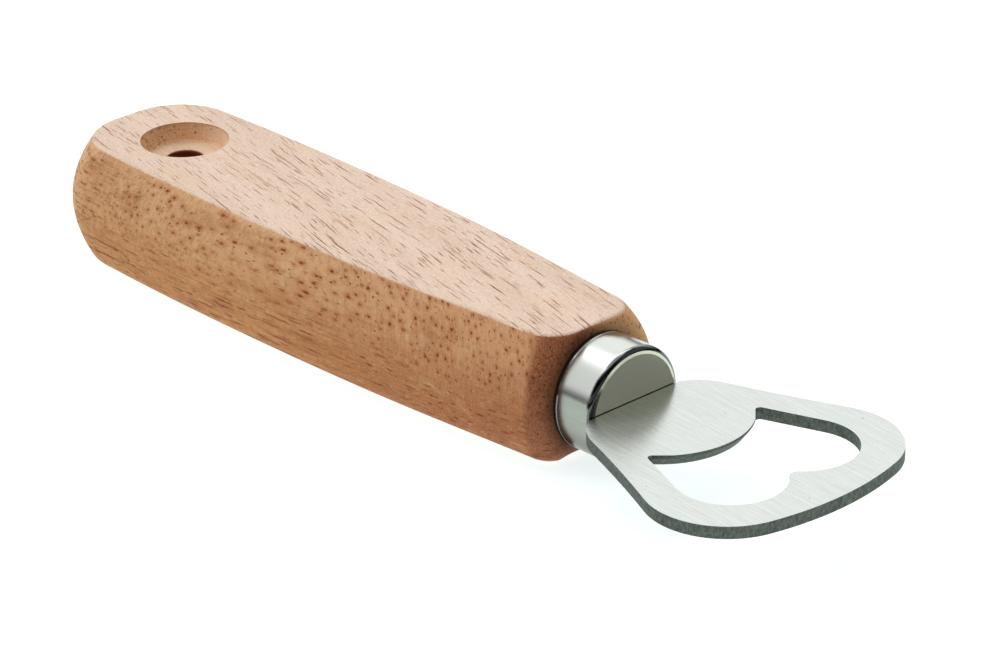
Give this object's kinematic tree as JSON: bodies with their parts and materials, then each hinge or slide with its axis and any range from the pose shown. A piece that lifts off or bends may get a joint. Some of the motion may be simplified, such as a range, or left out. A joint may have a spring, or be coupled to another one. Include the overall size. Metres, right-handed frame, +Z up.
{
  "type": "bottle opener",
  "caption": "Crown-cap opener: flat stamped steel head with a heart-shaped mouth, held by a slotted steel ferrule on a thick flat-sided wooden handle with a hanging hole.",
  "frame": {"origin": "middle of the underside of the overall box: the plane of the handle's flat underside, halfway between the handle's back end and the head's front edge", "axes": "+X along the handle towards the head, +Z up out of the flat face with the recessed end of the hanging hole, +Y to the left seen from behind"},
  "size_m": [0.161, 0.0434, 0.0212],
  "materials": {
    "handle_wood": "fine-sanded open-pored hardwood",
    "polished_steel": "polished",
    "brushed_blade": "satin brushed",
    "set_adhesive": "set resin"
  },
  "bodies": {
    "root": {"handle": "handle_wood", "ferrule": "polished_steel", "opener_blade": "brushed_blade", "tang_adhesive": "set_adhesive"}
  },
  "joints": []
}
